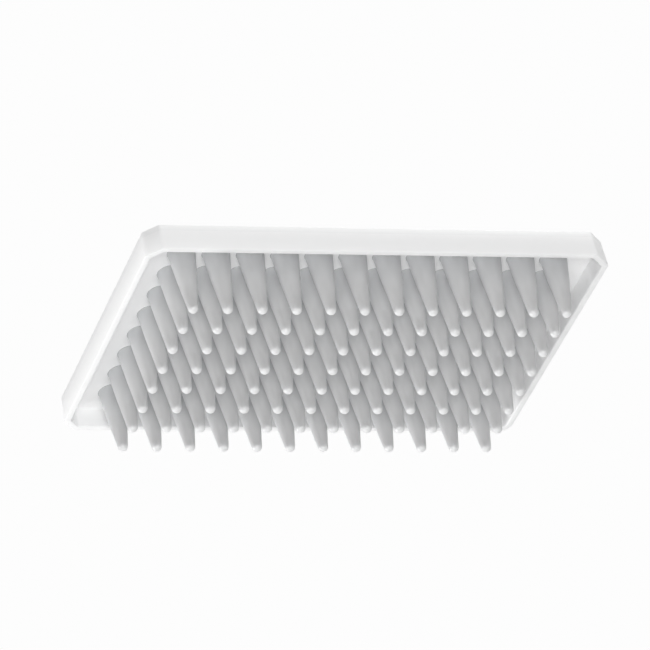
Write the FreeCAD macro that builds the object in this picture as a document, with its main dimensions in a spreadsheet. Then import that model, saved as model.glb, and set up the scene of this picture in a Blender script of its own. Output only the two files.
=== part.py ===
# Storage microplate: a semi-skirted plate with a grid of tapered wells, moulded in one piece.
# The plate stands on its well tips at z = 0, with the grid centred on x = y = 0. Columns are
# counted along +X and rows along -Y, so the first row is the far one.
import FreeCAD, Part
import math
import os
import Sketcher
from enum import IntEnum
from FreeCAD import Vector

NODE = "microplate"
Precision = FreeCAD.Base.Precision

# Millimetres, apart from the two counts
DRIVING_SIZES = {
    "footprint_length": 123.2,  # over the foot, along X
    "footprint_width": 82.4,  # the same, along Y
    "pitch": 9.0,  # between the axes of neighbouring wells
    "columns": 12,
    "rows": 8,
    "plate_height": 19.6,  # from the well tips to the top face
    "deck_thickness": 1.8,
    "skirt_height": 7.3,  # from the top face to the foot
    "skirt_wall": 1.3,  # at the top, where the skirt is thinnest
    "skirt_flare": 0.4,  # by which the foot stands outside the top face
    "foot_lead": 0.5,  # chamfer inside the foot
    "left_cut": 3.7,  # both corners beside the first column, measured at the foot
    "notch_cut": 4.6,  # the near right corner, which shows which way round the plate is
    "corner_radius": 3.4,  # the far right corner
    "corner_blend": 1.2,  # radius where a cut meets the sides
    "mouth_radius": 3.25,  # inside a well, at the top face
    "floor_radius": 0.85,  # inside a well, at its flat floor
    "floor_height": 1.3,  # of that floor above the tip
    "tip_wall": 0.45,
    "shoulder_wall": 0.6,  # where the outside of a well steepens
    "shoulder_height": 9.85,
    "neck_wall": 0.5,  # just under the deck
}

doc = FreeCAD.newDocument("storage_microplate")
sheet = doc.addObject("Spreadsheet::Sheet", "sizes")
for row, (alias, value) in enumerate(DRIVING_SIZES.items(), start=1):
    sheet.set(f"A{row}", alias)
    sheet.set(f"B{row}", str(value))
    sheet.setAlias(f"B{row}", alias)
doc.recompute()

# Expressions for what follows from the driving sizes; a word between $ signs is an alias
DECK_UNDERSIDE = "($plate_height$ - $deck_thickness$)"
FOOT = "($plate_height$ - $skirt_height$)"


def inner_radius(height):
    """The radius of a well's inside, which is one cone from its floor to its mouth."""
    rise = f"({height} - $floor_height$) / ($plate_height$ - $floor_height$)"
    return f"$floor_radius$ + ($mouth_radius$ - $floor_radius$) * {rise}"


TIP_RADIUS = "($floor_radius$ + $tip_wall$)"
SHOULDER_RADIUS = f"({inner_radius('$shoulder_height$')} + $shoulder_wall$)"
NECK_RADIUS = f"({inner_radius(DECK_UNDERSIDE)} + $neck_wall$)"


def spell_out(expression):
    """The expression as the document reads it."""
    words = expression.split("$")
    words[1::2] = [f"<<sizes>>.{alias}" for alias in words[1::2]]
    return "".join(words)


def value_of(expression):
    """What the expression comes to with the sizes as they are."""
    return float(sheet.evalExpression(spell_out(expression)))


def bind(feature, prop, expression):
    """Ties a property to the sheet."""
    feature.setExpression(prop, spell_out(expression))


body = doc.addObject("PartDesign::Body", NODE)
body.Label = NODE


def origin_feature(role):
    """One of the body's own origin planes or axes."""
    return next(feature for feature in body.Origin.OriginFeatures if feature.Role == role)


def new_sketch(name, role):
    """An empty sketch on one of the body's origin planes."""
    sketch = body.newObject("Sketcher::SketchObject", name)
    sketch.AttachmentSupport = [(origin_feature(role), "")]
    sketch.MapMode = "FlatFace"
    return sketch


# A sketch names a point by its geometry's number and one of these, which count from one
START, END, CENTRE = IntEnum("Point", ["START", "END", "CENTRE"])
ORIGIN = (-1, START)


def fix(sketch, kind, *places):
    """Adds a constraint that has no size."""
    sketch.addConstraint(Sketcher.Constraint(kind, *places))


def set_size(sketch, kind, *places, size):
    """Adds a dimension that is tied to the sheet."""
    number = sketch.addConstraint(Sketcher.Constraint(kind, *places, value_of(size)))
    sketch.renameConstraint(number, f"size{number}")
    bind(sketch, f"Constraints.size{number}", size)


def set_point(sketch, point, across, up):
    """Fixes a point, given as geometry and point number, at its two distances from the origin."""
    set_size(sketch, "DistanceX", *ORIGIN, *point, size=across)
    set_size(sketch, "DistanceY", *ORIGIN, *point, size=up)


def draw_lines(sketch, *points):
    """Straight lines from each point to the next, joined. Gives their geometry numbers."""
    ends = [Vector(x, y) for x, y in points]
    lines = [sketch.addGeometry(Part.LineSegment(a, b)) for a, b in zip(ends, ends[1:])]
    for line, following in zip(lines, lines[1:]):
        fix(sketch, "Coincident", line, END, following, START)
    return lines


def draw_outline(sketch, inset):
    """The plate from above: cut corners at both left ends and at the near right, one round corner.

    The inset moves the outline inwards. The corners shrink with it, so that a wall between two
    such outlines is equally thick all the way round.
    """
    half_length = f"$footprint_length$ / 2 - ({inset})"
    half_width = f"$footprint_width$ / 2 - ({inset})"
    shrink = f"({inset}) * (2 - sqrt(2))"
    left_cut = f"$left_cut$ - {shrink}"
    notch_cut = f"$notch_cut$ - {shrink}"
    corner_radius = f"$corner_radius$ - ({inset})"

    x, y = value_of(half_length), value_of(half_width)
    cut, notch_size = value_of(left_cut), value_of(notch_cut)
    radius = value_of(corner_radius)
    near, notch, right = draw_lines(
        sketch, (cut - x, -y), (x - notch_size, -y), (x, notch_size - y), (x, y - radius)
    )
    far, far_cut, left, near_cut = draw_lines(
        sketch, (x - radius, y), (cut - x, y), (-x, y - cut), (-x, cut - y), (cut - x, -y)
    )
    circle = Part.Circle(Vector(x - radius, y - radius), Vector(0, 0, 1), radius)
    corner = sketch.addGeometry(Part.ArcOfCircle(circle, 0, math.pi / 2))
    fix(sketch, "Coincident", near_cut, END, near, START)
    fix(sketch, "Tangent", right, END, corner, START)
    fix(sketch, "Tangent", corner, END, far, START)
    fix(sketch, "Horizontal", near)
    fix(sketch, "Horizontal", far)
    fix(sketch, "Vertical", right)
    fix(sketch, "Vertical", left)

    set_size(sketch, "DistanceX", *ORIGIN, right, START, size=half_length)
    set_size(sketch, "DistanceX", left, START, *ORIGIN, size=half_length)
    set_size(sketch, "DistanceY", *ORIGIN, far, START, size=half_width)
    set_size(sketch, "DistanceY", near, START, *ORIGIN, size=half_width)

    set_size(sketch, "DistanceX", near_cut, START, near_cut, END, size=left_cut)
    set_size(sketch, "DistanceY", near_cut, END, near_cut, START, size=left_cut)
    set_size(sketch, "DistanceX", far_cut, END, far_cut, START, size=left_cut)
    set_size(sketch, "DistanceY", far_cut, END, far_cut, START, size=left_cut)
    set_size(sketch, "DistanceX", notch, START, notch, END, size=notch_cut)
    set_size(sketch, "DistanceY", notch, START, notch, END, size=notch_cut)
    set_size(sketch, "Radius", corner, size=corner_radius)


# Deck and skirt as one block
footprint = new_sketch("footprint", "XY_Plane")
bind(footprint, "AttachmentOffset.Base.z", FOOT)
draw_outline(footprint, inset="0")
block = body.newObject("PartDesign::Pad", "block")
block.Profile = footprint
bind(block, "Length", "$skirt_height$")
doc.recompute()


def elements(feature, kind, wanted):
    """The names of a feature's edges or faces that are wanted."""
    shapes = enumerate(getattr(feature.Shape, f"{kind}s"), start=1)
    return [f"{kind}{number}" for number, shape in shapes if wanted(shape)]


def looks_down(face):
    """Whether a face is level and looks down."""
    return face.normalAt(0, 0).isEqual(Vector(0, 0, -1), Precision.approximation())


def stands_upright(face):
    """Whether a face goes straight up."""
    return abs(face.normalAt(0, 0).z) < Precision.approximation()


# The sides lean inwards from the foot to the top face
leaning_block = body.newObject("PartDesign::Draft", "leaning_block")
leaning_block.Base = (block, elements(block, "Face", stands_upright))
leaning_block.NeutralPlane = (block, elements(block, "Face", looks_down))
bind(leaning_block, "Angle", "atan($skirt_flare$ / $skirt_height$)")
doc.recompute()

# The hollow under the deck, cut upwards from the foot
hollow_outline = new_sketch("hollow_outline", "XY_Plane")
bind(hollow_outline, "AttachmentOffset.Base.z", FOOT)
draw_outline(hollow_outline, inset="$skirt_flare$ + $skirt_wall$")
hollow = body.newObject("PartDesign::Pocket", "hollow")
hollow.Profile = hollow_outline
hollow.Reversed = True
bind(hollow, "Length", "$skirt_height$ - $deck_thickness$")
doc.recompute()
if hollow.Shape.Volume > 0.5 * leaning_block.Shape.Volume:
    raise RuntimeError("the hollow under the deck isn't cut")


def climbs_a_corner(edge):
    """Whether an edge runs up between two flat sides."""
    low, high = sorted(end.Z for end in edge.Vertexes)
    sides = hollow.Shape.ancestorsOfType(edge, Part.Face)
    flat = all(isinstance(side.Surface, Part.Plane) for side in sides)
    return flat and high - low > Precision.approximation()


def rings_the_hollow(edge):
    """Whether both ends of an edge touch the outline of the hollow."""
    gaps = [hollow_outline.Shape.distToShape(end)[0] for end in edge.Vertexes]
    return max(gaps) < Precision.approximation()


# Blends at the cut corners, outside and inside
blends = body.newObject("PartDesign::Fillet", "blends")
blends.Base = (hollow, elements(hollow, "Edge", climbs_a_corner))
bind(blends, "Radius", "$corner_blend$")
doc.recompute()

# A lead-in all round the inside of the foot
foot_lead = body.newObject("PartDesign::Chamfer", "foot_lead")
foot_lead.Base = (blends, elements(blends, "Edge", rings_the_hollow))
bind(foot_lead, "Size", "$foot_lead$")


def place_at_first_well(sketch):
    """Moves an upright sketch so that its own upright axis is the first well's axis."""
    bind(sketch, "AttachmentOffset.Base.x", "-($columns$ - 1) * $pitch$ / 2")
    bind(sketch, "AttachmentOffset.Base.z", "-($rows$ - 1) * $pitch$ / 2")


def revolve(kind, name, sketch):
    """Turns a profile once round its sketch's upright axis."""
    feature = body.newObject(kind, name)
    feature.Profile = sketch
    feature.ReferenceAxis = (sketch, ["V_Axis"])
    feature.Angle = 360
    return feature


def repeat_over_grid(name, original):
    """Copies a feature of the first well to every column and row."""
    grid = body.newObject("PartDesign::MultiTransform", name)
    grid.Originals = [original]
    along_row = body.newObject("PartDesign::LinearPattern", f"{name}_along_row")
    along_row.Direction = (origin_feature("X_Axis"), [""])
    bind(along_row, "Length", "($columns$ - 1) * $pitch$")
    bind(along_row, "Occurrences", "$columns$")
    row_to_row = body.newObject("PartDesign::LinearPattern", f"{name}_row_to_row")
    row_to_row.Direction = (origin_feature("Y_Axis"), [""])
    row_to_row.Reversed = True
    bind(row_to_row, "Length", "($rows$ - 1) * $pitch$")
    bind(row_to_row, "Occurrences", "$rows$")
    grid.Transformations = [along_row, row_to_row]
    body.Tip = grid
    doc.recompute()
    return grid


# The outside of a well: a round tip, a steep taper up to the shoulder and a gentler one above it
well_profile = new_sketch("well_profile", "XZ_Plane")
tip_radius, shoulder, neck_radius = map(value_of, (TIP_RADIUS, SHOULDER_RADIUS, NECK_RADIUS))
underside, top = value_of(DECK_UNDERSIDE), value_of("$plate_height$")
lower, upper, neck, lid, core = draw_lines(
    well_profile,
    (tip_radius, tip_radius),
    (shoulder, value_of("$shoulder_height$")),
    (neck_radius, underside),
    (neck_radius, top),
    (0, top),
    (0, 0),
)
circle = Part.Circle(Vector(0, tip_radius), Vector(0, 0, 1), tip_radius)
tip = well_profile.addGeometry(Part.ArcOfCircle(circle, -math.pi / 2, 0))
fix(well_profile, "Coincident", core, END, tip, START)
fix(well_profile, "Coincident", tip, START, *ORIGIN)
fix(well_profile, "Vertical", tip, CENTRE, *ORIGIN)
fix(well_profile, "Tangent", tip, END, lower, START)
fix(well_profile, "Vertical", neck)
fix(well_profile, "Horizontal", lid)
fix(well_profile, "Vertical", core)
set_size(well_profile, "Radius", tip, size=TIP_RADIUS)
set_point(well_profile, (lower, END), across=SHOULDER_RADIUS, up="$shoulder_height$")
set_point(well_profile, (upper, END), across=NECK_RADIUS, up=DECK_UNDERSIDE)
set_size(well_profile, "DistanceY", *ORIGIN, neck, END, size="$plate_height$")
place_at_first_well(well_profile)
wells = repeat_over_grid("wells", revolve("PartDesign::Revolution", "well", well_profile))
solid_volume = wells.Shape.Volume

# The inside of a well, open at the top face
cavity_profile = new_sketch("cavity_profile", "XZ_Plane")
floor_radius, mouth_radius = value_of("$floor_radius$"), value_of("$mouth_radius$")
bottom = value_of("$floor_height$")
floor, side, mouth, axis = draw_lines(
    cavity_profile, (0, bottom), (floor_radius, bottom), (mouth_radius, top), (0, top), (0, bottom)
)
fix(cavity_profile, "Coincident", axis, END, floor, START)
fix(cavity_profile, "Vertical", floor, START, *ORIGIN)
fix(cavity_profile, "Horizontal", floor)
fix(cavity_profile, "Horizontal", mouth)
fix(cavity_profile, "Vertical", axis)
set_point(cavity_profile, (floor, END), across="$floor_radius$", up="$floor_height$")
set_point(cavity_profile, (side, END), across="$mouth_radius$", up="$plate_height$")
place_at_first_well(cavity_profile)
cavities = repeat_over_grid("cavities", revolve("PartDesign::Groove", "cavity", cavity_profile))
if cavities.Shape.Volume > 0.8 * solid_volume:
    raise RuntimeError("the wells aren't hollow")

faults = [feature.Name for feature in doc.Objects if {"Invalid", "Error"} & set(feature.State)]
if faults:
    raise RuntimeError(f"features that failed: {faults}")
shape = body.Shape
if shape.isNull() or not shape.isValid() or len(shape.Solids) != 1:
    raise RuntimeError(f"{NODE} isn't one valid solid")

os.makedirs("parts", exist_ok=True)
shape.exportStep(f"parts/{NODE}.step")
box = shape.optimalBoundingBox(False, False)
print(f"{NODE}: {box.XLength:.2f} x {box.YLength:.2f} x {box.ZLength:.2f} mm")
print(f"volume {shape.Volume:.1f} mm3, {len(shape.Faces)} faces")
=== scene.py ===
"""The looks of the storage microplate: a translucent moulding, its raised rims and its letters."""

import logging
import math
from dataclasses import dataclass
from enum import Enum
from typing import Callable, Iterator

import bmesh
import bpy
from mathutils import Matrix, Vector


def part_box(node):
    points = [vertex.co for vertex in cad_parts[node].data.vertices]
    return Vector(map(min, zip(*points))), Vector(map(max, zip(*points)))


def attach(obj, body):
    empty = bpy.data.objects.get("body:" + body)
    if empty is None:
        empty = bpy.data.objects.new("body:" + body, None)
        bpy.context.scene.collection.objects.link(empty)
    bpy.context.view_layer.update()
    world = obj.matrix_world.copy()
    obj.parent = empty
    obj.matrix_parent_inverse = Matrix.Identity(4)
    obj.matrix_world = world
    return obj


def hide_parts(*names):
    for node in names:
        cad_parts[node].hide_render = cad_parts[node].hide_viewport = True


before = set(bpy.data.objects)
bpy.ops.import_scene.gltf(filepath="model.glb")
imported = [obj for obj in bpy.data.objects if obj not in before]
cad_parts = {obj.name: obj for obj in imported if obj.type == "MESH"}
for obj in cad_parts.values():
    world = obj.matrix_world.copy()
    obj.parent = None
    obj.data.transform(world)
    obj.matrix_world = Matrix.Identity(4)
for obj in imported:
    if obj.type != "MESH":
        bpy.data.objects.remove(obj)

MM = 0.001
NODE = "microplate"
BODY = "root"

# How far apart vertices are welded, and how far a vertex or an edge may lie from its due place
WELD = 0.002 * MM
VERTEX_SLACK = 0.001 * MM
EDGE_SLACK = 0.01 * MM

log = logging.getLogger("microplate")


class SelectMode(Enum):
    """What an edit-mode selection is made of."""

    VERTICES = "VERT"
    EDGES = "EDGE"
    FACES = "FACE"


def deselect_objects() -> None:
    """Leaves no object selected, so that an operator acts on new work alone."""
    bpy.ops.object.select_all(action="DESELECT")


def start_editing(piece: bpy.types.Object, mode: SelectMode) -> None:
    """Opens a piece in edit mode with nothing selected.

    Args:
        piece: The mesh object to edit.
        mode: What selections are made of.
    """
    deselect_objects()
    piece.select_set(True)
    bpy.context.view_layer.objects.active = piece
    bpy.ops.object.mode_set(mode="EDIT")
    bpy.ops.mesh.select_mode(type=mode.value)
    bpy.ops.mesh.select_all(action="DESELECT")


def stop_editing() -> None:
    """Goes back to object mode."""
    bpy.ops.object.mode_set(mode="OBJECT")


def select_vertices(piece: bpy.types.Object, wanted: Callable[[Vector], bool]) -> None:
    """Selects the vertices of the piece in edit mode whose place is wanted, and nothing else.

    Args:
        piece: The mesh object in edit mode.
        wanted: Says of a place whether a vertex there is selected.
    """
    bpy.ops.mesh.select_all(action="DESELECT")
    mesh = bmesh.from_edit_mesh(piece.data)
    for vertex in mesh.verts:
        if wanted(vertex.co):
            vertex.select_set(True)
    mesh.select_flush_mode()
    bmesh.update_edit_mesh(piece.data)


def select_edges(piece: bpy.types.Object, wanted: Callable[[bmesh.types.BMEdge], bool]) -> int:
    """Selects the edges of the piece in edit mode that are wanted, and nothing else.

    Args:
        piece: The mesh object in edit mode.
        wanted: Says of an edge whether it is selected.

    Returns:
        How many edges are selected.
    """
    bpy.ops.mesh.select_all(action="DESELECT")
    mesh = bmesh.from_edit_mesh(piece.data)
    chosen = [edge for edge in mesh.edges if wanted(edge)]
    for edge in chosen:
        edge.select_set(True)
    bmesh.update_edit_mesh(piece.data)
    return len(chosen)


def select_faces(piece: bpy.types.Object, wanted: Callable[[bmesh.types.BMFace], bool]) -> None:
    """Selects the faces of the piece in edit mode that are wanted, and nothing else.

    Args:
        piece: The mesh object in edit mode.
        wanted: Says of a face whether it is selected.
    """
    bpy.ops.mesh.select_all(action="DESELECT")
    mesh = bmesh.from_edit_mesh(piece.data)
    for face in mesh.faces:
        if wanted(face):
            face.select_set(True)
    bmesh.update_edit_mesh(piece.data)


@dataclass(frozen=True)
class MouldedPlastic:
    """Natural polypropylene, which scatters light inside it, with painted light and shade by
    height: a pale colour low down passes into a darker one higher up.
    """

    name: str
    colour: tuple[float, float, float]
    painted_light_low_colour: tuple[float, float, float]
    low_height: float
    high_height: float
    roughness: float
    scatter: float
    scatter_depth: float
    roughness_spread: float = 0.04
    mottle: float = 0.02
    flow_size: float = 7.0 * MM
    flow_detail: float = 3.0
    grain: float = 0.04
    grain_size: float = 0.12 * MM
    grain_depth: float = 0.02 * MM
    grain_detail: float = 2.0
    refraction: float = 1.49

    def material(self) -> bpy.types.Material:
        """Builds the finish as a node material.

        Returns:
            The material, ready to be given to a piece.
        """
        material = bpy.data.materials.new(self.name)
        material.use_nodes = True
        tree = material.node_tree
        shader = tree.nodes["Principled BSDF"]
        shader.inputs["IOR"].default_value = self.refraction
        shader.inputs["Subsurface Weight"].default_value = self.scatter
        shader.inputs["Subsurface Scale"].default_value = self.scatter_depth
        shader.inputs["Subsurface Radius"].default_value = (1.0, 1.0, 1.0)
        place = tree.nodes.new("ShaderNodeTexCoord").outputs["Object"]
        flow = self.add_noise(tree, place, self.flow_size, self.flow_detail)

        shade = self.add_range(tree, flow, 1.0 - self.mottle, 1.0)
        mottled = tree.nodes.new("ShaderNodeVectorMath")
        mottled.operation = "SCALE"
        # The base colour is painted light and shade: paler low down, darker higher up.
        tree.links.new(self.add_painted_light_by_height(tree, place), mottled.inputs["Vector"])
        tree.links.new(shade, mottled.inputs["Scale"])
        tree.links.new(mottled.outputs["Vector"], shader.inputs["Base Color"])

        spread = self.roughness_spread
        satin = self.add_range(tree, flow, self.roughness - spread, self.roughness + spread)
        tree.links.new(satin, shader.inputs["Roughness"])

        bump = tree.nodes.new("ShaderNodeBump")
        bump.inputs["Strength"].default_value = self.grain
        bump.inputs["Distance"].default_value = self.grain_depth
        grain = self.add_noise(tree, place, self.grain_size, self.grain_detail)
        tree.links.new(grain, bump.inputs["Height"])
        tree.links.new(bump.outputs["Normal"], shader.inputs["Normal"])
        return material

    def add_noise(
        self, tree: bpy.types.NodeTree, place: bpy.types.NodeSocket, size: float, detail: float
    ) -> bpy.types.NodeSocket:
        """Adds a noise that is fixed to the piece.

        Args:
            tree: The material's nodes.
            place: The socket with the place on the piece.
            size: The size of the noise's forms.
            detail: How many finer layers it has.

        Returns:
            The socket with the noise, from 0 to 1.
        """
        noise = tree.nodes.new("ShaderNodeTexNoise")
        noise.inputs["Scale"].default_value = 1.0 / size
        noise.inputs["Detail"].default_value = detail
        tree.links.new(place, noise.inputs["Vector"])
        return noise.outputs["Fac"]

    def add_range(
        self, tree: bpy.types.NodeTree, value: bpy.types.NodeSocket, low: float, high: float
    ) -> bpy.types.NodeSocket:
        """Adds a node that spreads a value from 0 to 1 over a range.

        Args:
            tree: The material's nodes.
            value: The socket with the value.
            low: What 0 becomes.
            high: What 1 becomes.

        Returns:
            The socket with the result.
        """
        spread = tree.nodes.new("ShaderNodeMapRange")
        spread.inputs["To Min"].default_value = low
        spread.inputs["To Max"].default_value = high
        tree.links.new(value, spread.inputs["Value"])
        return spread.outputs["Result"]

    def add_painted_light_by_height(
        self, tree: bpy.types.NodeTree, place: bpy.types.NodeSocket
    ) -> bpy.types.NodeSocket:
        """Adds painted light and shade by height: the pale low colour passes into the darker colour
        above it.

        Args:
            tree: The material's nodes.
            place: The socket with the place on the piece.

        Returns:
            The socket with the colour.
        """
        height = tree.nodes.new("ShaderNodeSeparateXYZ")
        tree.links.new(place, height.inputs[0])
        share = tree.nodes.new("ShaderNodeMapRange")
        share.interpolation_type = "SMOOTHSTEP"
        share.inputs["From Min"].default_value = self.low_height
        share.inputs["From Max"].default_value = self.high_height
        tree.links.new(height.outputs["Z"], share.inputs["Value"])
        painted_light_by_height = tree.nodes.new("ShaderNodeMix")
        painted_light_by_height.data_type = "RGBA"
        painted_light_by_height.inputs["A"].default_value = (*self.painted_light_low_colour, 1.0)
        painted_light_by_height.inputs["B"].default_value = (*self.colour, 1.0)
        tree.links.new(share.outputs["Result"], painted_light_by_height.inputs["Factor"])
        return painted_light_by_height.outputs["Result"]


# Painted light: the deck's underside and the skirt below it are painted paler than the deck's edge
# and top.
DECK_PLASTIC = MouldedPlastic(
    name="deck_plastic",
    colour=(0.92, 0.923, 0.923),
    painted_light_low_colour=(0.96, 0.962, 0.962),
    low_height=17.82 * MM,
    high_height=17.94 * MM,
    roughness=0.42,
    scatter=0.7,
    scatter_depth=1.0 * MM,
)
# Painted light and shade: the wells are painted dark near the deck and pale towards their tips.
WELL_PLASTIC = MouldedPlastic(
    name="well_plastic",
    colour=(0.40, 0.408, 0.418),
    painted_light_low_colour=(0.87, 0.875, 0.88),
    low_height=3.0 * MM,
    high_height=18.0 * MM,
    roughness=0.32,
    scatter=1.0,
    scatter_depth=5.0 * MM,
)


@dataclass
class WellGrid:
    """Where the wells stand, all of them upright and evenly apart."""

    pitch: float = 9.0 * MM
    columns: int = 12
    rows: int = 8

    def column_place(self, column: int) -> float:
        """The X of a column, counted from 0 at the left."""
        return (column - (self.columns - 1) / 2) * self.pitch

    def row_place(self, row: int) -> float:
        """The Y of a row, counted from 0 at the far side."""
        return ((self.rows - 1) / 2 - row) * self.pitch

    def axes(self) -> Iterator[Vector]:
        """The foot of each well's axis, row by row.

        Returns:
            One place on the floor for each well.
        """
        for row in range(self.rows):
            for column in range(self.columns):
                yield Vector((self.column_place(column), self.row_place(row), 0.0))


@dataclass
class WellCell:
    """One square cell of the plate: its well, the raised rim and the patch of deck round it."""

    grid: WellGrid
    deck_top: float
    deck_underside: float
    rim_top: float
    deck_material: bpy.types.Material
    well_material: bpy.types.Material
    facets: int = 24
    neck_radius: float = 3.514 * MM
    neck_fillet: float = 0.12 * MM
    fillet_steps: int = 3
    shoulder_radius: float = 2.571 * MM
    shoulder_height: float = 9.85 * MM
    shoulder_blend: float = 0.65 * MM
    tip_radius: float = 1.3 * MM
    tip_tilt: float = math.radians(8.5)
    tip_rings: int = 4
    rim_radius: float = 3.95 * MM
    rim_edge: float = 0.12 * MM
    mouth_radius: float = 3.25 * MM
    floor_radius: float = 0.85 * MM
    floor_height: float = 1.3 * MM
    floor_blend: float = 0.4 * MM

    def outer_radius(self, height: float) -> float:
        """The radius of the well's outside at a height, from the tip's edge to the deck.

        Args:
            height: The height above the well's tip.

        Returns:
            The radius there.
        """
        if height >= self.shoulder_height:
            low = (self.shoulder_height, self.shoulder_radius)
            high = (self.deck_underside, self.neck_radius)
        else:
            edge = self.tip_radius * (1 - math.sin(self.tip_tilt))
            low = (edge, self.tip_radius * math.cos(self.tip_tilt))
            high = (self.shoulder_height, self.shoulder_radius)
        share = (height - low[0]) / (high[0] - low[0])
        return low[1] + share * (high[1] - low[1])

    def inner_radius(self, height: float) -> float:
        """The radius of the well's inside at a height, one taper from its floor to its mouth."""
        share = (height - self.floor_height) / (self.rim_top - self.floor_height)
        return self.floor_radius + share * (self.mouth_radius - self.floor_radius)

    def outside_rings(self) -> list[tuple[float, float]]:
        """The well's outside from the deck down to its tip, as radius and height of each ring."""
        rings = []
        for step in range(self.fillet_steps + 1):
            turn = math.pi / 2 * step / self.fillet_steps
            radius = self.neck_radius + self.neck_fillet * (1 - math.sin(turn))
            rings.append((radius, self.deck_underside - self.neck_fillet * (1 - math.cos(turn))))
        for height in (
            self.shoulder_height + self.shoulder_blend,
            self.shoulder_height,
            self.shoulder_height - self.shoulder_blend,
        ):
            rings.append((self.outer_radius(height), height))
        for step in range(self.tip_rings):
            turn = self.tip_tilt + (math.pi / 2 - self.tip_tilt) * step / self.tip_rings
            radius = self.tip_radius * math.cos(turn)
            rings.append((radius, self.tip_radius * (1 - math.sin(turn))))
        return rings

    def inside_rings(self) -> list[tuple[float, float]]:
        """The rim and the well's inside down to its floor, as radius and height of each ring."""
        edge = self.rim_edge
        blend = self.floor_blend
        blend_top = self.floor_height + blend
        return [
            (self.rim_radius + edge, self.deck_top),
            (self.rim_radius, self.deck_top + edge / 2),
            (self.rim_radius - edge / 3, self.rim_top - edge / 2),
            (self.rim_radius - edge, self.rim_top),
            (self.mouth_radius + edge, self.rim_top),
            (self.mouth_radius, self.rim_top - edge),
            (self.inner_radius(blend_top), blend_top),
            (self.floor_radius - 0.15 * blend, self.floor_height + 0.25 * blend),
            (self.floor_radius - 0.7 * blend, self.floor_height),
        ]

    def add_patch(self, piece: bpy.types.Object, radius: float, height: float) -> None:
        """Adds a square patch of deck with a round hole to the piece in edit mode.

        The hole's edge is left selected.

        Args:
            piece: The mesh object in edit mode.
            radius: The hole's radius.
            height: The height of the patch.
        """
        bpy.ops.mesh.select_all(action="DESELECT")
        bpy.ops.mesh.primitive_plane_add(size=self.grid.pitch, location=(0, 0, height))
        bpy.ops.mesh.subdivide(number_cuts=self.facets // 4 - 1)
        border = self.grid.pitch / 2 - EDGE_SLACK

        def level(place: Vector) -> bool:
            """Whether a place lies at the height of the new patch."""
            return abs(place.z - height) < VERTEX_SLACK

        def inner(place: Vector) -> bool:
            """Whether a place lies on the new patch and off its border."""
            return level(place) and max(abs(place.x), abs(place.y)) < border

        select_vertices(piece, inner)
        bpy.ops.mesh.delete(type="VERT")
        bpy.ops.mesh.primitive_circle_add(
            vertices=self.facets, radius=radius, location=(0, 0, height)
        )
        select_vertices(piece, level)
        bpy.ops.mesh.bridge_edge_loops()
        select_vertices(
            piece, lambda place: level(place) and place.to_2d().length < radius + VERTEX_SLACK
        )

    def sink_rings(self, rings: list[tuple[float, float]]) -> None:
        """Draws the selected ring on through a list of rings.

        Args:
            rings: The radius and height of each ring, the selected one first.
        """
        for (radius, height), (next_radius, next_height) in zip(rings, rings[1:]):
            bpy.ops.mesh.extrude_edges_move(
                TRANSFORM_OT_translate={"value": (0, 0, next_height - height)}
            )
            share = next_radius / radius
            bpy.ops.transform.resize(
                value=(share, share, 1), center_override=(0, 0, next_height)
            )

    def build(self) -> bpy.types.Object:
        """Models the cell round its own upright axis, open at its four borders.

        Returns:
            The cell as a mesh object.
        """
        deselect_objects()
        bpy.ops.mesh.primitive_plane_add(size=self.grid.pitch)
        piece = bpy.context.object
        piece.name = "well_cell"
        start_editing(piece, SelectMode.VERTICES)
        bpy.ops.mesh.select_all(action="SELECT")
        bpy.ops.mesh.delete(type="VERT")

        outside = self.outside_rings()
        self.add_patch(piece, *outside[0])
        self.sink_rings(outside)
        bpy.ops.mesh.extrude_edges_move(
            TRANSFORM_OT_translate={"value": (0, 0, -outside[-1][1])}
        )
        bpy.ops.mesh.merge(type="CENTER")

        inside = self.inside_rings()
        self.add_patch(piece, *inside[0])
        self.sink_rings(inside)
        bpy.ops.mesh.extrude_edges_move(TRANSFORM_OT_translate={"value": (0, 0, 0)})
        bpy.ops.mesh.merge(type="CENTER")
        stop_editing()
        self.dress(piece)
        return piece

    def dress(self, piece: bpy.types.Object) -> None:
        """Gives the deck and the well their finishes.

        Args:
            piece: The finished cell.
        """
        piece.data.materials.append(self.deck_material)
        piece.data.materials.append(self.well_material)
        for face in piece.data.polygons:
            in_well = face.center.to_2d().length < self.neck_radius + self.neck_fillet
            face.material_index = int(in_well and face.center.z < self.deck_top)

    def repeat(self, cell: bpy.types.Object) -> list[bpy.types.Object]:
        """Puts a copy of the cell, with a mesh of its own, on every well's axis.

        Args:
            cell: The finished cell, which is used up.

        Returns:
            The copies.
        """
        copies = []
        for axis in self.grid.axes():
            copy = bpy.data.objects.new(cell.name, cell.data.copy())
            copy.data.transform(Matrix.Translation(axis))
            bpy.context.collection.objects.link(copy)
            copies.append(copy)
        bpy.data.objects.remove(cell)
        return copies


class Corner(Enum):
    """The plate's four corners, as the sides of X and Y that they lie on."""

    FIRST_NEAR = (-1, -1)
    FIRST_FAR = (-1, 1)
    LAST_NEAR = (1, -1)
    LAST_FAR = (1, 1)


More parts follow.
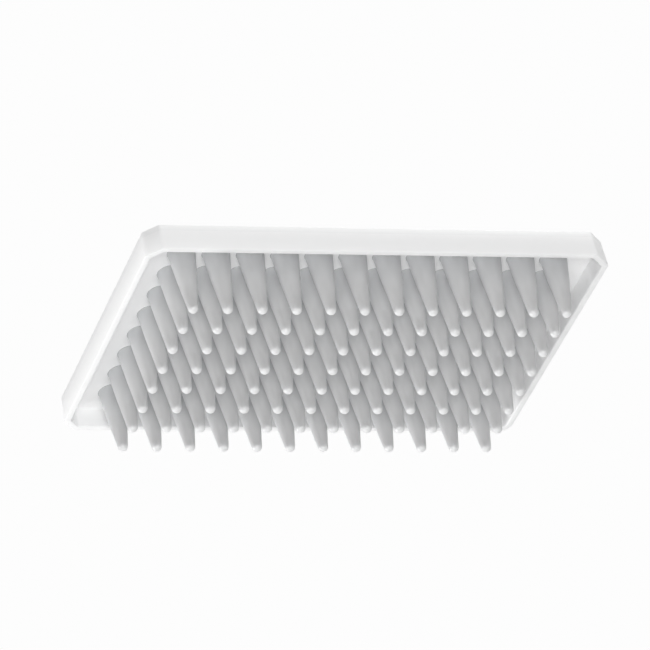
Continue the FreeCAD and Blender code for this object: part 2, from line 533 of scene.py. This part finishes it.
@dataclass
class Skirt:
    """The border of the plate: its outer wall, the foot, and the raised edge of the top."""

    high: Vector
    foot_height: float
    deck_top: float
    deck_underside: float
    flare: float = 0.4 * MM
    wall: float = 1.3 * MM
    foot_lead: float = 0.2 * MM
    edge_width: float = 1.0 * MM
    edge_round: float = 0.2 * MM
    corner_round: float = 0.5 * MM
    first_cut: float = 3.7 * MM
    last_cut: float = 4.6 * MM
    far_radius: float = 3.4 * MM
    sharp_turn: float = math.radians(25)
    wall_slope: float = 0.2

    def shape_corner(
        self, piece: bpy.types.Object, corner: Corner, size: float, steps: int
    ) -> None:
        """Cuts or rounds one corner of the flat outline in edit mode.

        Args:
            piece: The outline, one face.
            corner: Which corner.
            size: How far along both sides the corner is taken away.
            steps: One for a straight cut, more for a round corner.
        """
        side_x, side_y = corner.value
        place = Vector((side_x * self.high.x, side_y * self.high.y, self.foot_height))
        select_vertices(piece, lambda point: (point - place).length < EDGE_SLACK)
        bpy.ops.mesh.bevel(offset=size, segments=steps, affect="VERTICES")

    def add_outline(self) -> bpy.types.Object:
        """Models the outline of the foot as one flat face.

        Returns:
            The outline, in edit mode with its face selected.
        """
        deselect_objects()
        bpy.ops.mesh.primitive_plane_add(size=2, location=(0, 0, self.foot_height))
        piece = bpy.context.object
        piece.name = "skirt"
        piece.scale = (self.high.x, self.high.y, 1)
        bpy.ops.object.transform_apply(location=True, rotation=True, scale=True)
        start_editing(piece, SelectMode.VERTICES)
        self.shape_corner(piece, Corner.FIRST_NEAR, self.first_cut, steps=1)
        self.shape_corner(piece, Corner.FIRST_FAR, self.first_cut, steps=1)
        self.shape_corner(piece, Corner.LAST_NEAR, self.last_cut, steps=1)
        self.shape_corner(piece, Corner.LAST_FAR, self.far_radius, steps=8)
        bpy.ops.mesh.select_mode(type=SelectMode.FACES.value)
        bpy.ops.mesh.select_all(action="SELECT")
        return piece

    def step_in(self, width: float, rise: float = 0.0) -> None:
        """Insets the selected face evenly and lifts or sinks it.

        Args:
            width: How far inwards the face's border goes.
            rise: How far up it goes at the same time.
        """
        bpy.ops.mesh.inset(thickness=width, depth=0, use_even_offset=True)
        bpy.ops.transform.translate(value=(0, 0, rise))

    def round_edges(self, piece: bpy.types.Object) -> None:
        """Rounds the corners of all walls, then the outer edges of the foot and of the top.

        Args:
            piece: The border in edit mode.
        """
        bpy.ops.mesh.select_mode(type=SelectMode.EDGES.value)
        self.bevel_where(piece, self.is_corner, self.corner_round, steps=4)
        self.bevel_where(piece, self.is_border, self.edge_round, steps=2)

    def is_corner(self, edge: bmesh.types.BMEdge) -> bool:
        """Whether an edge climbs between two flat sides of a wall."""
        a, b = (end.co for end in edge.verts)
        return (
            abs(a.z - b.z) > EDGE_SLACK
            and edge.is_manifold
            and edge.calc_face_angle() > self.sharp_turn
        )

    def is_border(self, edge: bmesh.types.BMEdge) -> bool:
        """Whether an edge is part of the outermost outline of the foot or of the top."""
        heights = {round(end.co.z / MM, 2) for end in edge.verts}
        level = heights in ({round(self.foot_height / MM, 2)}, {round(self.high.z / MM, 2)})
        return level and any(abs(face.normal.z) < self.wall_slope for face in edge.link_faces)

    def bevel_where(
        self,
        piece: bpy.types.Object,
        wanted: Callable[[bmesh.types.BMEdge], bool],
        size: float,
        steps: int,
    ) -> None:
        """Rounds the edges of the piece in edit mode that are wanted.

        Args:
            piece: The mesh object in edit mode.
            wanted: Says of an edge whether it is rounded.
            size: How wide the rounding is on each side of the edge.
            steps: How many faces it has.
        """
        select_edges(piece, wanted)
        bpy.ops.mesh.bevel(offset=size, segments=steps, affect="EDGES")

    def build(self) -> bpy.types.Object:
        """Models the border from the foot's outline, and leaves it open where the cells go.

        Returns:
            The border as a mesh object.
        """
        piece = self.add_outline()
        bpy.ops.mesh.duplicate()
        self.step_in(self.flare, rise=self.high.z - self.foot_height)
        self.step_in(self.edge_width)
        self.step_in(self.edge_round, rise=self.deck_top - self.high.z)
        bpy.ops.mesh.delete(type="ONLY_FACE")

        # Of what is left, only the foot's own outline is larger than a quarter of the plate
        select_faces(piece, lambda face: face.calc_area() > self.high.x * self.high.y)
        self.step_in(self.flare + self.wall - self.foot_lead)
        self.step_in(self.foot_lead, rise=self.foot_lead)
        climb = self.deck_underside - self.foot_height - self.foot_lead
        bpy.ops.mesh.extrude_region_move(TRANSFORM_OT_translate={"value": (0, 0, climb)})
        bpy.ops.mesh.delete(type="ONLY_FACE")

        bpy.ops.mesh.select_all(action="SELECT")
        bpy.ops.mesh.remove_doubles(threshold=WELD)
        bpy.ops.mesh.normals_make_consistent(inside=False)
        self.round_edges(piece)
        stop_editing()
        return piece


@dataclass
class Moulding:
    """The whole plate as one closed piece, made of the skirt and a grid of well cells."""

    grid: WellGrid
    high: Vector
    deck_thickness: float = 1.8 * MM
    rim_height: float = 0.3 * MM
    skirt_height: float = 7.3 * MM
    deck_finish: MouldedPlastic = DECK_PLASTIC
    well_finish: MouldedPlastic = WELL_PLASTIC
    crease: float = math.radians(40)

    def build(self) -> bpy.types.Object:
        """Models the plate and dresses it.

        Returns:
            The finished plate.
        """
        underside = self.high.z - self.deck_thickness
        deck_top = self.high.z - self.rim_height
        deck_material = self.deck_finish.material()
        cell = WellCell(
            grid=self.grid,
            deck_top=deck_top,
            deck_underside=underside,
            rim_top=self.high.z,
            deck_material=deck_material,
            well_material=self.well_finish.material(),
        )
        cells = cell.repeat(cell.build())
        skirt = Skirt(
            high=self.high,
            foot_height=self.high.z - self.skirt_height,
            deck_top=deck_top,
            deck_underside=underside,
        ).build()
        skirt.data.materials.append(deck_material)

        deselect_objects()
        for part in (skirt, *cells):
            part.select_set(True)
        bpy.context.view_layer.objects.active = skirt
        bpy.ops.object.join()
        plate = bpy.context.object
        plate.name = "moulding"

        start_editing(plate, SelectMode.EDGES)
        bpy.ops.mesh.select_all(action="SELECT")
        bpy.ops.mesh.remove_doubles(threshold=WELD)
        self.close_gap(plate, underside)
        self.close_gap(plate, deck_top)
        bpy.ops.mesh.select_all(action="SELECT")
        bpy.ops.mesh.normals_make_consistent(inside=False)
        stop_editing()

        bpy.ops.object.shade_smooth_by_angle(angle=self.crease)
        return plate

    def close_gap(self, plate: bpy.types.Object, height: float) -> None:
        """Fills the gap between the skirt and the grid of cells at a height.

        Args:
            plate: The joined plate in edit mode.
            height: The height of the gap.
        """

        def open_here(edge: bmesh.types.BMEdge) -> bool:
            """Whether an edge is open and lies at the gap's height."""
            return edge.is_boundary and all(
                abs(end.co.z - height) < EDGE_SLACK for end in edge.verts
            )

        count = select_edges(plate, open_here)
        log.info("open edges at %.2f mm: %d", height / MM, count)
        bpy.ops.mesh.fill(use_beauty=True)


@dataclass
class GridLettering:
    """Raised letters for the rows and numbers for the columns, beside the wells on the deck."""

    grid: WellGrid
    deck_top: float
    letter_height: float = 2.8 * MM
    number_height: float = 2.2 * MM
    raised: float = 0.12 * MM
    letters_at: float = -56.6 * MM
    numbers_at: float = 37.5 * MM
    capital_share: float = 0.7
    curve_steps: int = 3
    finish: MouldedPlastic = DECK_PLASTIC

    def raise_mark(self, mark: str, place: Vector, height: float) -> bpy.types.Object:
        """Makes one letter or number, standing out of the deck.

        Args:
            mark: What is written.
            place: The middle of the mark, on the deck.
            height: How tall its capitals are.

        Returns:
            The mark as a mesh object.
        """
        deselect_objects()
        bpy.ops.object.text_add(location=place)
        text = bpy.context.object
        text.data.body = mark
        text.data.align_x = "CENTER"
        text.data.align_y = "CENTER"
        text.data.size = height / self.capital_share
        text.data.extrude = self.raised
        text.data.resolution_u = self.curve_steps
        bpy.ops.object.convert(target="MESH")
        bpy.ops.object.transform_apply(location=True, rotation=True, scale=True)
        return bpy.context.object

    def join_marks(self, marks: list[bpy.types.Object], name: str) -> bpy.types.Object:
        """Joins a set of marks into one dressed piece.

        Args:
            marks: The marks to join.
            name: The piece's name.

        Returns:
            The piece.
        """
        deselect_objects()
        for mark in marks:
            mark.select_set(True)
        bpy.context.view_layer.objects.active = marks[0]
        bpy.ops.object.join()
        piece = bpy.context.object
        piece.name = name
        start_editing(piece, SelectMode.VERTICES)
        bpy.ops.mesh.select_all(action="SELECT")
        bpy.ops.mesh.remove_doubles(threshold=WELD)
        for _ in range(2):  # the first pass can leave a new face without area
            bpy.ops.mesh.dissolve_degenerate(threshold=WELD)
        bpy.ops.mesh.normals_make_consistent(inside=False)
        stop_editing()
        piece.data.materials.clear()
        piece.data.materials.append(self.finish.material())
        return piece

    def build(self) -> list[bpy.types.Object]:
        """Makes the row letters and the column numbers.

        Returns:
            The two pieces.
        """
        letters = [
            self.raise_mark(
                chr(ord("A") + row),
                Vector((self.letters_at, self.grid.row_place(row), self.deck_top)),
                self.letter_height,
            )
            for row in range(self.grid.rows)
        ]
        numbers = [
            self.raise_mark(
                str(column + 1),
                Vector((self.grid.column_place(column), self.numbers_at, self.deck_top)),
                self.number_height,
            )
            for column in range(self.grid.columns)
        ]
        return [self.join_marks(letters, "row_letters"), self.join_marks(numbers, "column_numbers")]


@dataclass(frozen=True)
class Lamp:
    """A soft square lamp that points at the plate."""

    name: str
    place: tuple[float, float, float]
    size: float
    power: float

    def hang(self) -> None:
        """Hangs the lamp where the camera doesn't see it."""
        data = bpy.data.lights.new(self.name, "AREA")
        data.size = self.size
        data.energy = self.power
        lamp = bpy.data.objects.new(self.name, data)
        bpy.context.collection.objects.link(lamp)
        lamp.location = self.place
        lamp.rotation_mode = "QUATERNION"
        lamp.rotation_quaternion = (-Vector(self.place)).to_track_quat("-Z", "Y")
        lamp.visible_camera = False


LAMPS = (
    Lamp("front_lamp", (-0.42, -0.94, -0.62), size=0.4, power=7.3),
    Lamp("left_lamp", (-0.88, 0.75, -0.30), size=0.4, power=7.6),
    Lamp("low_lamp", (-0.12, -0.24, -1.16), size=0.6, power=1.8),
    Lamp("top_lamp", (0.5, -0.2, 1.1), size=0.7, power=7.0),
    Lamp("rear_lamp", (0.4, 1.0, -0.45), size=0.9, power=2.5),
)


@dataclass
class Studio:
    """The pale floor, the soft lamps, the white surroundings and the photograph's camera."""

    lamps: tuple[Lamp, ...] = LAMPS
    floor_size: float = 4.0
    floor_height: float = -0.05 * MM
    floor_colour: float = 0.92
    floor_roughness: float = 0.9
    surroundings: float = 0.982
    ambient: float = 0.365
    camera_turn: float = math.radians(-24.3125)
    camera_rise: float = math.radians(-31.2506)
    camera_roll: float = math.radians(12.5904)
    camera_distance: float = 1455.749 * MM
    aim_right: float = 4.707 * MM
    aim_up: float = -13.771 * MM
    aim_height: float = 1.35 * MM
    focal_pixels: float = 5793.875
    frame_pixels: float = 650.0
    sensor: float = 36.0

    def lay_floor(self) -> None:
        """Lays a pale floor that shows shadows from above and nothing at all from below."""
        deselect_objects()
        bpy.ops.mesh.primitive_plane_add(size=self.floor_size, location=(0, 0, self.floor_height))
        floor = bpy.context.object
        floor.name = "floor"
        material = bpy.data.materials.new("pale_floor")
        material.use_nodes = True
        tree = material.node_tree
        shader = tree.nodes["Principled BSDF"]
        shader.inputs["Base Color"].default_value = (*[self.floor_colour] * 3, 1.0)
        shader.inputs["Roughness"].default_value = self.floor_roughness
        clear = tree.nodes.new("ShaderNodeBsdfTransparent")
        face = tree.nodes.new("ShaderNodeNewGeometry")
        path = tree.nodes.new("ShaderNodeLightPath")
        below_or_shadow = tree.nodes.new("ShaderNodeMath")
        below_or_shadow.operation = "MAXIMUM"
        tree.links.new(face.outputs["Backfacing"], below_or_shadow.inputs[0])
        tree.links.new(path.outputs["Is Shadow Ray"], below_or_shadow.inputs[1])
        unseen = tree.nodes.new("ShaderNodeMath")
        unseen.operation = "MAXIMUM"
        tree.links.new(below_or_shadow.outputs[0], unseen.inputs[0])
        tree.links.new(path.outputs["Is Diffuse Ray"], unseen.inputs[1])
        blend = tree.nodes.new("ShaderNodeMixShader")
        tree.links.new(unseen.outputs[0], blend.inputs[0])
        tree.links.new(shader.outputs[0], blend.inputs[1])
        tree.links.new(clear.outputs[0], blend.inputs[2])
        tree.links.new(blend.outputs[0], tree.nodes["Material Output"].inputs["Surface"])
        floor.data.materials.append(material)

    def light_world(self) -> None:
        """Makes surroundings that look white, also in reflections, but light the plate dimly."""
        world = bpy.data.worlds.new("white_surroundings")
        bpy.context.scene.world = world
        world.use_nodes = True
        tree = world.node_tree
        background = tree.nodes["Background"]
        background.inputs["Color"].default_value = (*[self.surroundings] * 3, 1.0)
        path = tree.nodes.new("ShaderNodeLightPath")
        looked_at = tree.nodes.new("ShaderNodeMath")
        looked_at.operation = "MAXIMUM"
        tree.links.new(path.outputs["Is Camera Ray"], looked_at.inputs[0])
        tree.links.new(path.outputs["Is Glossy Ray"], looked_at.inputs[1])
        strength = tree.nodes.new("ShaderNodeMapRange")
        strength.inputs["To Min"].default_value = self.ambient
        strength.inputs["To Max"].default_value = 1.0
        tree.links.new(looked_at.outputs[0], strength.inputs["Value"])
        tree.links.new(strength.outputs["Result"], background.inputs["Strength"])

    def place_camera(self) -> None:
        """Puts the camera where the photograph was taken from, below the plate and looking up."""
        data = bpy.data.cameras.new("camera")
        data.sensor_width = self.sensor
        data.lens = self.focal_pixels / self.frame_pixels * self.sensor
        camera = bpy.data.objects.new("camera", data)
        bpy.context.collection.objects.link(camera)
        turn = (
            Matrix.Rotation(self.camera_turn, 4, "Z")
            @ Matrix.Rotation(math.pi / 2 - self.camera_rise, 4, "X")
            @ Matrix.Rotation(-self.camera_roll, 4, "Z")
        )
        away = turn @ Vector((-self.aim_right, -self.aim_up, self.camera_distance))
        camera.matrix_world = Matrix.Translation(away + Vector((0, 0, self.aim_height))) @ turn
        bpy.context.scene.camera = camera

    def build(self) -> None:
        """Sets up the whole studio."""
        self.lay_floor()
        self.light_world()
        for lamp in self.lamps:
            lamp.hang()
        self.place_camera()
        bpy.context.scene.view_settings.view_transform = "Standard"


def main() -> None:
    """Builds the plate and its studio, and hides the CAD piece that the plate stands in for."""
    logging.basicConfig(level=logging.INFO, format="%(name)s: %(message)s")
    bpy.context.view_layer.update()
    _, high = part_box(NODE)
    grid = WellGrid()

    moulding = Moulding(grid=grid, high=high)
    plate = moulding.build()
    log.info("moulding: %d faces", len(plate.data.polygons))
    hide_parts(NODE)
    lettering = GridLettering(grid=grid, deck_top=high.z - moulding.rim_height)
    for piece in (plate, *lettering.build()):
        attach(piece, BODY)
        log.info("%s rides on %s", piece.name, BODY)
    Studio().build()


if __name__ == "__main__":
    main()
